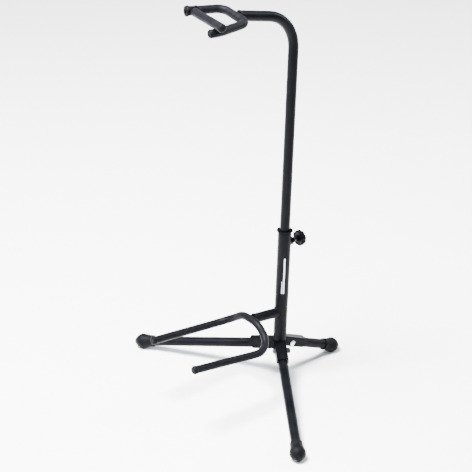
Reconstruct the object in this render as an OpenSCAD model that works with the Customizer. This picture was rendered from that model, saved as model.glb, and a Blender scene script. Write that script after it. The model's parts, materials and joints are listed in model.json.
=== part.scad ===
// Folding tripod stand for a guitar: a leaning mast on three folding legs, a telescopic
// gooseneck with a padded neck yoke and its locking bar, and a padded body cradle.
// Front is -Y, up is +Z, and the origin is on the floor under the middle of the stand.

/* [Mast] */
// Outside diameter of the mast tube
mast_d = 25.4; // [22:0.1:32]
// Wall thickness of the mast tube
mast_wall = 1.5; // [1:0.1:2.5]
// Height of the mast tube's top end, along the mast
mast_top = 308; // [260:1:380]
// Height of the mast tube's bottom end, along the mast
mast_low = 51; // [46:1:60]
// Backward lean of the mast, degrees
mast_lean = 2.6; // [0:0.1:6]

/* [Neck] */
// Outside diameter of the sliding neck tube
neck_d = 19.05; // [16:0.05:20]
// Wall thickness of the neck tube
neck_wall = 1.2; // [1:0.1:2]
// Height of the neck tube's lower end, along the mast
neck_low = 175; // [120:1:220]
// Height where the gooseneck bend starts, along the mast
neck_bend_h = 673; // [560:1:760]
// Centre line radius of the gooseneck bend
neck_bend_r = 72; // [60:1:110]
// Angle of the gooseneck bend, degrees
neck_bend_a = 79; // [60:1:90]
// Straight run from the gooseneck bend to the middle of the yoke
neck_run = 78; // [60:1:120]
// Turn of the neck about the mast, degrees
neck_turn = 0.4; // [-30:0.1:30]

/* [Yoke] */
// Diameter of the yoke rod
yoke_rod_d = 9.5; // [8:0.1:11]
// Outside diameter of the foam on the yoke and on its bar
yoke_foam_d = 15.6; // [13:0.1:20]
// Half width of the straight base of the yoke
yoke_base = 18.5; // [16:0.5:28]
// Centre line radius of the yoke's corners
yoke_corner_r = 18.5; // [14:0.5:25]
// Outward splay of the arms at the corners, degrees
yoke_splay = 11.4; // [4:0.2:16]
// Centre line radius of the inward bend in the long arm
yoke_bow_r = 90; // [70:5:120]
// Angle of that bend, degrees
yoke_bow_a = 16; // [4:0.5:18]
// Straight run between a corner and that bend
yoke_straight = 42; // [36:1:50]
// Length of the long arm, which the bar rests on
yoke_long_arm = 71; // [70:1:100]
// Length of the short arm, which carries the pivot of the bar
yoke_short_arm = 36; // [30:1:44]
// Rise of the yoke over the mast's square, degrees
yoke_pitch = 1.3; // [-5:0.1:12]
// Roll of the yoke, which lowers the long arm, degrees
yoke_roll = 6.9; // [0:0.1:14]

/* [Locking bar] */
// Diameter of the pivot pin at the end of the short arm
bar_pin_d = 8; // [6:0.1:9]
// Outside diameter of the bar's hub
bar_hub_d = 16.4; // [14:0.1:20]
// Length of the bar's hub along the pin
bar_hub_w = 13; // [10:0.5:16]
// Diameter of the rod inside the bar
bar_rod_d = 8; // [6:0.1:9]
// Distance from the pin to the start of the bar's domed end
bar_reach = 124; // [112:1:136]
// Forward slant of the bar from its hub, degrees
bar_skew = 1.8; // [0:0.1:10]
// Diameter of the cap that holds the hub on its pin
bar_cap_d = 20; // [16:0.5:24]

/* [Cradle] */
// Diameter of the cradle rod
cradle_rod_d = 9.5; // [8:0.1:11]
// Outside diameter of the sleeve on the cradle rod
cradle_sleeve_d = 14.8; // [13:0.1:20]
// Height of the cradle's stub on the mast, along the mast
cradle_h = 139; // [130:1:160]
// Outside diameter of the stub tube
stub_d = 19.05; // [17:0.05:20]
// Wall thickness of the stub tube
stub_wall = 1.5; // [1:0.1:2.5]
// Distance from the mast's centre line to the middle of the cradle rod
cradle_reach = 75; // [65:1:95]
// Rise of the cradle over the mast's square, degrees
cradle_rise = 4.7; // [0:0.1:10]
// Half width of the level part of the cradle's base
cradle_base = 9; // [8:1:16]
// Centre line radius of the hump at each side of the base
cradle_hump_r = 43; // [35:1:60]
// Downward angle of the hump, degrees
cradle_hump_a = 35; // [20:1:45]
// Straight run between the hump and the corner
cradle_link = 7; // [4:1:14]
// Centre line radius of the cradle's corners
cradle_corner_r = 37; // [30:1:45]
// Inward toe of the arms, degrees
cradle_toe = 1.8; // [0:0.1:5]
// Straight length of each cradle arm
cradle_arm = 135; // [110:1:170]

/* [Legs] */
// Outside diameter of the leg tubes
leg_d = 19.05; // [16:0.05:22]
// Wall thickness of the leg tubes
leg_wall = 1.2; // [1:0.1:2]
// Distance from the hub to the middle of each front foot
front_reach = 290; // [240:1:340]
// Distance from the hub to the middle of the rear foot
rear_reach = 133; // [115:1:180]
// Angle of each front leg from straight ahead, degrees
front_angle = 57.7; // [56:0.1:62]
// Height of the leg pivots over the floor
pivot_h = 65; // [58:1:75]
// Distance of the leg pivots from the hub's centre
pivot_r = 23.4; // [23:0.1:27]

/* [Brackets] */
// Sheet thickness of the leg brackets
bracket_wall = 1.5; // [1:0.1:2.5]
// Distance from the hub to the outer end of a bracket
bracket_reach = 59; // [50:1:70]
// Depth of a bracket's sides below the leg's centre line
bracket_skirt = 7; // [5:0.5:9]
// Bend radius outside a bracket's folded edges
bracket_fold = 3; // [2:0.5:5]

/* [Feet] */
// Diameter of a rubber foot's bulb
foot_d = 30.5; // [27:0.5:36]
// Height of the bulb's centre over the floor
foot_h = 14; // [12:0.5:14.5]
// Wall of the collar that grips the leg
foot_collar_wall = 2.4; // [1.5:0.1:4]
// Length of the collar from the middle of the bulb
foot_collar = 24; // [18:1:32]
// Length of the nose from the middle of the bulb
foot_nose = 17; // [15.5:0.5:22]

/* [Clamp] */
// Height of the clamp screw on the mast, along the mast
clamp_h = 287; // [240:1:290]
// Diameter of the clamp screw's shank
clamp_d = 6.8; // [5:0.1:8]
// Width of the weld nut across its flats
nut_af = 13; // [11:0.5:17]
// Outer end of the weld nut, from the mast's centre line
nut_reach = 20; // [18:0.5:24]
// Diameter of the knob over its lobes
knob_d = 30.7; // [26:0.1:38]
// Thickness of the knob
knob_w = 12; // [9:0.5:16]
// Face of the knob's rim, from the mast's centre line
knob_reach = 32.4; // [31:0.1:40]
// Number of lobes round the knob
knob_lobes = 8; // [5:1:12]

/* [Fasteners] */
// Diameter of the leg pivot bolts
bolt_d = 6; // [5:0.5:6]
// Diameter of the bolts' round heads
bolt_head_d = 11; // [9:0.5:13]
// Height of the bolts' round heads
bolt_head_h = 3.2; // [2.5:0.1:5]
// Width of the lock nuts across their flats
locknut_af = 10; // [8:0.5:11]
// Height of the lock nuts
locknut_h = 6; // [4:0.5:8]

/* [Fits] */
// Radial clearance of a pin or shank that turns in its hole
run_gap = 0.05; // [0.02:0.01:0.09]
// Radial clearance of a tube that slides in its bush
slide_gap = 0.08; // [0.05:0.01:0.1]
// Gap between soft sleeves and the steel that they cover
sleeve_gap = 0.1; // [0.05:0.05:0.3]
// Gap left between pieces that pass each other
pass_gap = 0.4; // [0.3:0.1:1]

/* [Hidden] */
$fn = 64;
// Reach of a cutting block, and how far a cut runs past the face it opens.
far = 1000;
cut = 1;
// Length of the rings that bridge the joints of bent rods, and how far they stand proud.
seam = 0.8;
seam_skin = 0.02;

mast_id = mast_d - 2 * mast_wall;
neck_id = neck_d - 2 * neck_wall;
neck_bore_d = neck_d + 2 * slide_gap;
guide_d = mast_id - 2 * slide_gap;

// Points and headings along bent rods.
up = [0, 0, 1];
ahead = [0, -1, 0];
function unit(v) = v / norm(v);
// Displacement of a bend of centre line radius r from heading h into heading f.
function bend_move(h, f, r) =
    let (a = acos(h * f), side = unit(f - (f * h) * h))
    r * (sin(a) * h + (1 - cos(a)) * side);
// Roll about heading h, from bending direction n, that turns the rod into heading f.
function roll_into(h, n, f) =
    let (side = unit(f - (f * h) * h))
    atan2(side * cross(h, n), side * n);

// Cradle: the heading after the hump, the arm's heading and the steps of one half.
hump_heading = [cos(cradle_hump_a), 0, -sin(cradle_hump_a)];
hump_normal = [-sin(cradle_hump_a), 0, -cos(cradle_hump_a)];
arm_heading = [-sin(cradle_toe), -cos(cradle_toe), 0];
cradle_steps = [
    [cradle_base],
    [cradle_hump_r, cradle_hump_a, 0],
    [cradle_link],
    [cradle_corner_r, acos(hump_heading * arm_heading),
     roll_into(hump_heading, hump_normal, arm_heading)],
    [cradle_arm]];
cradle_tip = [cradle_base, -cradle_reach, 0]
    + bend_move([1, 0, 0], hump_heading, cradle_hump_r)
    + cradle_link * hump_heading
    + bend_move(hump_heading, arm_heading, cradle_corner_r)
    + cradle_arm * arm_heading;
cradle_cap_l = 12;
cradle_cap_d = cradle_sleeve_d + 1.4;

// Legs: [angle from straight ahead, reach] of the front right, front left and rear legs.
FRONT_RIGHT = [front_angle, front_reach];
FRONT_LEFT = [-front_angle, front_reach];
REAR = [180, rear_reach];
function leg_fall(leg) = atan2(pivot_h - foot_h, leg[1] - pivot_r);
function leg_length(leg) = norm([pivot_h - foot_h, leg[1] - pivot_r]);

// The mast's foot sits behind the origin, so that the stand's box is centred on it.
tilt = mast_lean + cradle_rise;
hub_y = pivot_h * tan(mast_lean);
front_edge = -cradle_h * sin(mast_lean) - cradle_tip[1] * cos(tilt)
    - cradle_tip[2] * sin(tilt) + cradle_cap_d / 2;
rear_nose = foot_nose * cos(leg_fall(REAR)) + foot_d / 4 * sin(leg_fall(REAR));
rear_edge = hub_y + rear_reach + max(foot_d / 2, rear_nose);
mast_y = (front_edge - rear_edge) / 2;

// Brackets, and the inner ends of the legs in them.
bracket_inner = leg_d + 2 * pass_gap;
bracket_w = bracket_inner + 2 * bracket_wall;
bracket_start = bracket_w / 2 / tan(front_angle) + pass_gap;
leg_root_r = min(leg_d / 2, pivot_r - mast_d / 2 - 2 * pass_gap);
socket_depth = 4;
bracket_notch = 1.6 * bracket_skirt;
bolt_hole_d = bolt_d + 2 * run_gap;
bolt_end = bracket_w / 2 + locknut_h + 1;

// Neck end and yoke.
neck_end_y = -neck_bend_r * (1 - cos(neck_bend_a)) - neck_run * sin(neck_bend_a);
neck_end_z = neck_bend_h + neck_bend_r * sin(neck_bend_a) + neck_run * cos(neck_bend_a);
neck_tip_gap = yoke_foam_d / 2 + pass_gap;
stem_d = 8;
stem_plug = 18;
yoke_foam_id = yoke_rod_d + 2 * sleeve_gap;
yoke_bow_l = yoke_bow_r * yoke_bow_a * PI / 180;
yoke_corner = [yoke_corner_r, 90 - yoke_splay, 0];
short_steps = [[yoke_base], yoke_corner, [yoke_short_arm]];
long_steps = [
    [yoke_base],
    yoke_corner,
    [yoke_straight],
    [yoke_bow_r, yoke_bow_a, 0],
    [max(seam, yoke_long_arm - yoke_straight - yoke_bow_l)]];
yoke_cap_l = 5;

// Locking bar: it leans on top of the long arm.
pivot_collar_w = 1.6;
pivot_collar_d = bar_hub_d + 1.2;
pivot_cap_w = 6;
pivot_nub_l = 2;
pivot_screw_d = 4.2;
pivot_screw_l = 3;
hub_gap = 0.2;
hub_at = pivot_collar_w + hub_gap;
hub_mid = hub_at + bar_hub_w / 2;
cap_at = hub_at + bar_hub_w + hub_gap;
corner_half = yoke_base + yoke_corner_r * cos(yoke_splay);
pin_half = corner_half + (yoke_short_arm + hub_mid) * sin(yoke_splay);
rest_half = corner_half + yoke_straight * sin(yoke_splay)
    + yoke_bow_r * (cos(yoke_bow_a - yoke_splay) - cos(yoke_splay));
bar_lift = asin((yoke_foam_d + pass_gap) / (pin_half + rest_half));
hinge_r = max(bar_hub_d, bar_cap_d, pivot_collar_d) / 2;
bar_foam_start = (hinge_r + pass_gap + yoke_foam_d / 2 * sin(bar_skew)) / cos(bar_skew);
bar_dome_l = 5;
bar_dome_r = yoke_foam_d / 2 + 2;

// Clamp: the hole in the mast, and the shoe from its face on the neck tube to the screw.
clamp_hole_d = clamp_d + 2;
shoe_d = clamp_d - 0.4;
shoe_in = neck_d / 2 + 0.1;
shoe_out = mast_d / 2 - 0.2;
knob_hub_d = 13;
knob_hub_l = 4;
knob_rim_w = 4;
knob_web = 5;
lobe_cut_r = 6;
lobe_depth = 1.3;

module on_mast() {
    translate([0, mast_y, 0]) rotate([-mast_lean, 0, 0]) children();
}

module on_neck() {
    on_mast() rotate([0, 0, neck_turn]) children();
}

// Frame at the middle of the yoke's base, with the arms along -Y.
module on_yoke() {
    on_neck() translate([0, neck_end_y, neck_end_z])
        rotate([-yoke_pitch, 0, 0]) rotate([0, yoke_roll, 0]) children();
}

// Frame at the middle of the cradle's base, with the arms along -Y.
module on_cradle() {
    on_mast() translate([0, 0, cradle_h]) rotate([-cradle_rise, 0, 0])
        translate([0, -cradle_reach, 0]) children();
}

// Frame at the hub, with +X pointing straight out over a leg.
module on_hub(leg) {
    translate([0, mast_y + hub_y, pivot_h]) rotate([0, 0, leg[0] - 90]) children();
}

// Frame at a leg's pivot, with +X along the leg.
module on_pivot(leg) {
    on_hub(leg) translate([pivot_r, 0, 0]) rotate([0, leg_fall(leg), 0]) children();
}

// Frame on the clamp's axis, with +Z pointing out of the mast's back.
module on_clamp() {
    on_mast() translate([0, 0, clamp_h]) rotate([-90, 0, 0]) children();
}

// Places children at the end of a path of steps. A step [length] goes straight along +Z,
// and a step [radius, angle, roll] bends towards +X after a roll about +Z.
module at_end(steps, i = 0) {
    if (i == len(steps))
        children();
    else if (len(steps[i]) == 1)
        translate([0, 0, steps[i][0]]) at_end(steps, i + 1) children();
    else
        rotate([0, 0, steps[i][2]])
            translate([steps[i][0] * (1 - cos(steps[i][1])), 0, steps[i][0] * sin(steps[i][1])])
                rotate([0, steps[i][1], 0]) at_end(steps, i + 1) children();
}

// Cross-section of a round bar, or of a tube if it has a bore.
module round_section(d, bore) {
    difference() {
        circle(d = d);
        if (bore > 0) circle(d = bore);
    }
}

// One straight or bent piece of round bar or tube. A straight piece stops short of the
// bends before and after it by the given amounts.
module bar_step(step, d, bore, before, after) {
    if (len(step) == 1)
        translate([0, 0, before]) linear_extrude(step[0] - before - after) round_section(d, bore);
    else
        rotate([0, 0, step[2]]) translate([step[0], 0, 0]) rotate([90, 0, 180])
            rotate_extrude(angle = step[1]) translate([step[0], 0]) round_section(d, bore);
}

// Round bar or tube along a path of steps. A ring a hair thicker than the bar bridges
// each joint, so that the pieces make one solid.
module bent_bar(steps, d, bore = 0) {
    last = len(steps) - 1;
    for (i = [0 : last])
        at_end([for (j = [0 : 1 : i - 1]) steps[j]]) {
            bar_step(steps[i], d, bore, i == 0 ? 0 : seam / 4, i == last ? 0 : seam / 4);
            if (i > 0)
                translate([0, 0, -seam / 2]) linear_extrude(seam)
                    round_section(d + 2 * seam_skin, bore - 2 * seam_skin);
        }
}

module hex_prism(af, h) {
    cylinder(h = h, d = af / cos(30), $fn = 6);
}

module mast_tube() {
    color("#1c1c20") difference() {
        on_mast() translate([0, 0, mast_low]) cylinder(h = mast_top - mast_low, d = mast_d);
        on_mast() translate([0, 0, mast_low - cut])
            cylinder(h = mast_top - mast_low + 2 * cut, d = mast_id);
        on_clamp() cylinder(h = mast_d, d = clamp_hole_d);
    }
}

// Plastic bush with a flared lip, which guides the neck tube in the mast's mouth.
module mast_collar() {
    bush_l = 13;
    band_h = 3.4;
    lip_h = 2.4;
    lip_d = mast_d + 5.2;
    band_r = mast_d / 2 + 0.4;
    mouth_r = neck_bore_d / 2 + 1.6;
    color("#141416") on_mast() translate([0, 0, mast_top]) rotate_extrude() polygon([
        [neck_bore_d / 2, -bush_l], [mast_id / 2, -bush_l], [mast_id / 2, 0],
        [band_r, 0], [band_r, band_h], [lip_d / 2, band_h + lip_h / 2],
        [lip_d / 2, band_h + lip_h], [mouth_r, band_h + lip_h],
        [neck_bore_d / 2, band_h + lip_h / 2]]);
}

// Plug with a rim that closes the mast's lower end.
module mast_cap() {
    rim_h = 2.5;
    rim_d = mast_d + 1;
    plug_l = 10;
    color("#141416") on_mast() translate([0, 0, mast_low]) {
        translate([0, 0, -rim_h]) cylinder(h = rim_h, d = rim_d);
        cylinder(h = plug_l, d = mast_id);
    }
}

module clamp_nut() {
    color("#1c1c20") difference() {
        on_clamp() hex_prism(nut_af, nut_reach);
        on_clamp() cylinder(h = nut_reach + cut, d = clamp_d + 2 * run_gap);
        on_mast() cylinder(h = mast_top, d = mast_d);
    }
}

// Nylon shoe at the screw's tip, which presses on the neck tube.
module clamp_shoe() {
    color("#e8e6df") on_clamp() translate([0, 0, shoe_in])
        cylinder(h = shoe_out - shoe_in, d = shoe_d);
}

module clamp_screw() {
    color("#8d8f94") on_clamp() translate([0, 0, shoe_out])
        cylinder(h = knob_reach + knob_web - shoe_out, d = clamp_d);
}

// Lobed knob with a recess round its hub, open towards the mast.
module clamp_knob() {
    rim_r = knob_d / 2;
    recess = 1.4;
    low_edge = 1.4;
    high_edge = 3;
    crown = 0.6;
    color("#17171a") on_clamp() translate([0, 0, knob_reach]) difference() {
        rotate_extrude() polygon([
            [0, -knob_hub_l], [knob_hub_d / 2, -knob_hub_l], [knob_hub_d / 2, recess],
            [rim_r - knob_rim_w, recess], [rim_r - knob_rim_w, 0],
            [rim_r - low_edge, 0], [rim_r, low_edge], [rim_r, knob_w - high_edge],
            [rim_r - high_edge, knob_w - crown], [0, knob_w]]);
        translate([0, 0, -knob_hub_l - cut])
            cylinder(h = knob_hub_l + cut + knob_web, d = clamp_d);
        for (i = [0 : knob_lobes - 1]) rotate([0, 0, i * 360 / knob_lobes])
            translate([rim_r + lobe_cut_r - lobe_depth, 0, -cut])
                cylinder(h = knob_w + 2 * cut, r = lobe_cut_r);
    }
}

module cradle_stub() {
    length = cradle_reach - cradle_sleeve_d / 2 - pass_gap;
    color("#1c1c20") difference() {
        on_cradle() translate([0, cradle_reach, 0]) rotate([90, 0, 0]) cylinder(h = length, d = stub_d);
        on_cradle() translate([0, cradle_reach, 0]) rotate([90, 0, 0])
            cylinder(h = length + cut, d = stub_d - 2 * stub_wall);
        on_mast() cylinder(h = mast_top, d = mast_d);
    }
}

// Steel plug in the stub's end, with the spigot that the cradle rod is welded to.
module cradle_stem() {
    color("#1c1c20") difference() {
        on_cradle() rotate([-90, 0, 0]) {
            cylinder(h = cradle_sleeve_d, d = stem_d);
            translate([0, 0, cradle_sleeve_d / 2 + pass_gap])
                cylinder(h = stem_plug, d = stub_d - 2 * stub_wall);
        }
        on_cradle() rotate([0, 90, 0]) cylinder(h = 4 * stem_d, d = cradle_rod_d, center = true);
    }
}

module cradle_rod() {
    color("#1c1c20") on_cradle() for (side = [0, 1]) mirror([side, 0, 0])
        rotate([0, 90, 0]) bent_bar(cradle_steps, cradle_rod_d);
}

// Soft sleeve over the whole cradle rod, open at the back for the stem.
module cradle_sleeve() {
    color("#222226") on_cradle() difference() {
        for (side = [0, 1]) mirror([side, 0, 0]) rotate([0, 90, 0])
            bent_bar(cradle_steps, cradle_sleeve_d, cradle_rod_d + 2 * sleeve_gap);
        rotate([-90, 0, 0]) cylinder(h = cradle_sleeve_d, d = stem_d + 2 * sleeve_gap);
    }
}

// Domed cap on a cradle arm's tip.
module cradle_cap(side) {
    color("#141416") on_cradle() mirror([side, 0, 0]) rotate([0, 90, 0]) at_end(cradle_steps)
        tip_cap(cradle_cap_d);
}

// Flat-backed dome that closes a sleeve's end.
module tip_cap(d) {
    intersection() {
        sphere(d = d);
        cylinder(h = d, d = d);
    }
}

// Cross-section of a bracket: an upside-down channel in the XY plane, open towards -Y.
module channel_section(w, top, skirt, fold) {
    translate([-w / 2, -skirt]) square([w, skirt + top - fold]);
    translate([-w / 2 + fold, 0]) square([w - 2 * fold, top]);
    for (side = [-1, 1]) translate([side * (w / 2 - fold), top - fold]) circle(r = fold);
}

// Folded sheet bracket, trimmed to sit on the mast, with the holes for its pivot bolt.
module bracket(leg) {
    length = (bracket_reach - pivot_r) / cos(leg_fall(leg));
    color("#18181b") difference() {
        intersection() {
            on_pivot(leg) rotate([90, 0, 90]) translate([0, 0, -pivot_r])
                linear_extrude(length + pivot_r) difference() {
                    channel_section(bracket_w, bracket_w / 2, bracket_skirt, bracket_fold);
                    channel_section(bracket_inner, bracket_inner / 2, bracket_skirt + cut,
                        bracket_fold - bracket_wall);
                }
            on_hub(leg) translate([bracket_start, -far / 2, -far / 2]) cube(far);
        }
        on_mast() cylinder(h = mast_top, d = mast_d);
        on_pivot(leg) rotate([90, 0, 0])
            cylinder(h = 2 * bracket_w, d = bolt_hole_d, center = true);
        on_pivot(leg) translate([length, 0, -bracket_skirt]) rotate([0, -45, 0])
            cube([far, 2 * bracket_w, bracket_notch], center = true);
    }
}

// Pivot bolt with a low round head on the right-hand side of its leg.
module bolt(leg) {
    head_at = bracket_w / 2;
    color("#c9ccd0") on_pivot(leg) rotate([90, 0, 0]) {
        translate([0, 0, head_at]) intersection() {
            cylinder(h = bolt_head_h, d = bolt_head_d);
            translate([0, 0, bolt_head_h - bolt_head_d]) sphere(r = bolt_head_d);
        }
        translate([0, 0, -bolt_end]) cylinder(h = head_at + bolt_end, d = bolt_d);
    }
}

module locknut(leg) {
    color("#b4b7bc") on_pivot(leg) rotate([-90, 0, 0]) translate([0, 0, bracket_w / 2]) difference() {
        hex_prism(locknut_af, locknut_h);
        translate([0, 0, -cut]) cylinder(h = locknut_h + 2 * cut, d = bolt_hole_d);
    }
}

// Leg tube, rounded at the pivot so that it clears the mast when it folds.
module leg(leg) {
    length = leg_length(leg) + socket_depth;
    color("#1c1c20") on_pivot(leg) difference() {
        intersection() {
            translate([-leg_d, 0, 0]) rotate([0, 90, 0]) cylinder(h = length + leg_d, d = leg_d);
            union() {
                rotate([90, 0, 0]) cylinder(h = 2 * leg_d, r = leg_root_r, center = true);
                translate([0, -leg_d, -leg_d]) cube([length, 2 * leg_d, 2 * leg_d]);
            }
        }
        translate([-leg_d - cut, 0, 0]) rotate([0, 90, 0])
            cylinder(h = length + leg_d + 2 * cut, d = leg_d - 2 * leg_wall);
        rotate([90, 0, 0]) cylinder(h = 2 * leg_d, d = bolt_hole_d, center = true);
    }
}

// Rubber foot: collar, bulb and nose on the leg's axis, flat where it meets the floor.
module foot(leg) {
    collar_d = leg_d + 2 * foot_collar_wall;
    color("#151517") difference() {
        on_pivot(leg) translate([leg_length(leg), 0, 0]) rotate([0, 90, 0]) {
            translate([0, 0, -foot_collar]) cylinder(h = foot_collar, d = collar_d);
            sphere(d = foot_d);
            cylinder(h = foot_nose, d = foot_d / 2);
        }
        on_pivot(leg) rotate([0, 90, 0]) cylinder(h = leg_length(leg) + socket_depth, d = leg_d);
        translate([-far / 2, -far / 2, -far]) cube(far);
    }
}

// Nylon plug in the neck tube's lower end, which slides in the mast.
module guide_plug() {
    head_l = 8;
    plug_l = 14;
    color("#e2e0d8") on_mast() translate([0, 0, neck_low]) {
        translate([0, 0, -head_l]) cylinder(h = head_l, d = guide_d);
        cylinder(h = plug_l, d = neck_id - 2 * run_gap);
    }
}

module neck_tube() {
    steps = [[neck_bend_h - neck_low], [neck_bend_r, neck_bend_a, 0], [neck_run - neck_tip_gap]];
    color("#1e1e22") on_neck() rotate([0, 0, -90]) translate([0, 0, neck_low])
        bent_bar(steps, neck_d, neck_id);
}

// Steel plug in the gooseneck's end, with the spigot that the yoke rod is welded to.
module yoke_stem() {
    color("#1e1e22") difference() {
        on_neck() translate([0, neck_end_y, neck_end_z]) rotate([neck_bend_a - 180, 0, 0]) {
            cylinder(h = yoke_foam_d, d = stem_d);
            translate([0, 0, neck_tip_gap]) cylinder(h = stem_plug, d = neck_id);
        }
        on_yoke() rotate([0, 90, 0]) cylinder(h = 4 * stem_d, d = yoke_rod_d, center = true);
    }
}

// Frame with +Z along the yoke's base to one side and +X turned towards the arms.
module yoke_side(side) {
    on_yoke() mirror([side, 0, 0]) rotate([0, 90, 0]) rotate([0, 0, -90]) children();
}

// Bent rod of the yoke, with the bar's pivot pin turned on the short arm's end.
module yoke_rod() {
    color("#1e1e22") {
        yoke_side(0) bent_bar(long_steps, yoke_rod_d);
        yoke_side(1) bent_bar(short_steps, yoke_rod_d);
        on_tip() cylinder(h = cap_at, d = bar_pin_d);
    }
}

// Frame at the short arm's end, with +Z along the arm and +X towards the long arm.
module on_tip() {
    yoke_side(1) at_end(short_steps) children();
}

// Frame in the middle of the bar's hub, with +Z along its pin and +X over the long arm.
module on_hinge() {
    on_tip() translate([0, 0, hub_mid]) rotate([0, 0, -bar_lift]) children();
}

// Frame of the locking bar, with +X along the bar.
module on_bar() {
    on_hinge() rotate([0, -bar_skew, 0]) children();
}

// Foam tube over the whole yoke rod, open at the back for the stem.
module yoke_sleeve() {
    color("#26262b") difference() {
        yoke_side(0) bent_bar(long_steps, yoke_foam_d, yoke_foam_id);
        yoke_side(1) bent_bar(short_steps, yoke_foam_d, yoke_foam_id);
        on_neck() translate([0, neck_end_y, neck_end_z]) rotate([neck_bend_a - 180, 0, 0])
            cylinder(h = yoke_foam_d, d = stem_d + 2 * sleeve_gap);
    }
}

module yoke_cap() {
    color("#151518") yoke_side(0) at_end(long_steps) intersection() {
        cylinder(h = yoke_cap_l, d = yoke_foam_d);
        translate([0, 0, yoke_cap_l - yoke_foam_d]) sphere(r = yoke_foam_d);
    }
}

module pivot_collar() {
    color("#1a1a1d") on_tip() difference() {
        cylinder(h = pivot_collar_w, d = pivot_collar_d);
        translate([0, 0, -cut]) cylinder(h = pivot_collar_w + 2 * cut, d = bar_pin_d);
    }
}

// Cap on the pin's end, with a small nub for the fingers.
module pivot_cap() {
    color("#151518") on_tip() translate([0, 0, cap_at]) difference() {
        union() {
            cylinder(h = pivot_cap_w, d = bar_cap_d);
            translate([0, 0, pivot_cap_w]) cylinder(h = pivot_nub_l, d = bar_cap_d / 3);
        }
        translate([0, 0, -cut]) cylinder(h = pivot_screw_l + cut, d = pivot_screw_d);
    }
}

module pivot_screw() {
    color("#8d8f94") on_tip() translate([0, 0, cap_at])
        cylinder(h = pivot_screw_l, d = pivot_screw_d);
}

module bar_hub() {
    color("#1a1a1d") on_hinge() difference() {
        cylinder(h = bar_hub_w, d = bar_hub_d, center = true);
        cylinder(h = bar_hub_w + 2 * cut, d = bar_pin_d + 2 * run_gap, center = true);
    }
}

module bar_rod() {
    color("#1a1a1d") difference() {
        on_bar() rotate([0, 90, 0]) cylinder(h = bar_reach, d = bar_rod_d);
        on_hinge() cylinder(h = bar_hub_w + 2 * cut, d = bar_hub_d, center = true);
    }
}

module bar_sleeve() {
    color("#26262b") on_bar() rotate([0, 90, 0]) translate([0, 0, bar_foam_start]) difference() {
        cylinder(h = bar_reach - bar_foam_start, d = yoke_foam_d);
        translate([0, 0, -cut]) cylinder(h = bar_reach, d = bar_rod_d + 2 * sleeve_gap);
    }
}

module bar_cap() {
    color("#1b1b1f") on_bar() translate([bar_reach, 0, 0]) rotate([0, 90, 0]) intersection() {
        cylinder(h = bar_dome_l, d = yoke_foam_d);
        translate([0, 0, bar_dome_l - bar_dome_r]) sphere(r = bar_dome_r);
    }
}

mast_tube();
mast_collar();
mast_cap();
clamp_nut();
cradle_stub();
cradle_stem();
cradle_rod();
cradle_sleeve();
cradle_cap(0);  // cradle_cap_right
cradle_cap(1);  // cradle_cap_left
bracket(FRONT_RIGHT);  // bracket_front_right
bracket(FRONT_LEFT);  // bracket_front_left
bracket(REAR);  // bracket_rear
bolt(FRONT_RIGHT);  // bolt_front_right
bolt(FRONT_LEFT);  // bolt_front_left
bolt(REAR);  // bolt_rear
locknut(FRONT_RIGHT);  // locknut_front_right
locknut(FRONT_LEFT);  // locknut_front_left
locknut(REAR);  // locknut_rear
leg(FRONT_RIGHT);  // leg_front_right
leg(FRONT_LEFT);  // leg_front_left
leg(REAR);  // leg_rear
foot(FRONT_RIGHT);  // foot_front_right
foot(FRONT_LEFT);  // foot_front_left
foot(REAR);  // foot_rear
guide_plug();
neck_tube();
yoke_stem();
yoke_rod();
yoke_sleeve();
yoke_cap();
pivot_collar();
pivot_cap();
pivot_screw();
bar_hub();
bar_rod();
bar_sleeve();
bar_cap();
clamp_shoe();
clamp_screw();
clamp_knob();
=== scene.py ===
"""Looks of a folding tripod guitar stand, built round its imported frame.

Front is -Y and up is +Z, in metres. Sizes in the classes are in millimetres, as the
maker gives them, and MM turns them into metres.
"""

import sys

import json
import logging
import math
from dataclasses import dataclass, field
from enum import Enum
from typing import Callable, Iterable, Sequence

import bpy
from mathutils import Matrix, Vector, noise


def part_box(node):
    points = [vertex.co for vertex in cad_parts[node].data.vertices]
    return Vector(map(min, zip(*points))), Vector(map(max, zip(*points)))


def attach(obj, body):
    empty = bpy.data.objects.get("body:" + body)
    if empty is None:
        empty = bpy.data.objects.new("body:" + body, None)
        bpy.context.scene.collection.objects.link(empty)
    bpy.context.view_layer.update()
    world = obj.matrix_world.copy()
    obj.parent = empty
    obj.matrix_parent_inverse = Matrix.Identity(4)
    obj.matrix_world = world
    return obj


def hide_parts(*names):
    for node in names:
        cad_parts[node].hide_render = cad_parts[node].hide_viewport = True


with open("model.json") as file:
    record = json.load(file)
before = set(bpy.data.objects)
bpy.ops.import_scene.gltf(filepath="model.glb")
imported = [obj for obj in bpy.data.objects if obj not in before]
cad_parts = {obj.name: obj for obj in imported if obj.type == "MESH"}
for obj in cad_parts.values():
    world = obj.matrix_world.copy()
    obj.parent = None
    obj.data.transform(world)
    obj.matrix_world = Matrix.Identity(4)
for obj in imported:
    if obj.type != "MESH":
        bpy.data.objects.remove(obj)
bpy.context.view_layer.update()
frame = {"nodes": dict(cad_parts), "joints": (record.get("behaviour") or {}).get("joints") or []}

MM = 0.001
AXIS = 0.01  # radius of the tiny end face that closes a turned profile
LOG = logging.getLogger("guitar_stand")
Color = tuple[float, float, float]
Step = tuple[float, ...]
Corner = tuple[float, float]


class Body(Enum):
    """Bodies of the frame that the made pieces ride on."""

    STAND = "stand"
    NECK = "neck"
    BAR = "locking_bar"
    KNOB = "clamp_turner"
    RIGHT_LEG = "right_leg"
    LEFT_LEG = "left_leg"
    REAR_LEG = "rear_leg"


class Slot(Enum):
    """Material slots of the record, named with each made piece; nothing reads them."""

    PAINT = "black_paint"
    PLASTIC = "black_plastic"
    RUBBER = "black_rubber"
    FOAM = "black_foam"


# --------------------------------------------------------------------------- shader graph


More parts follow.
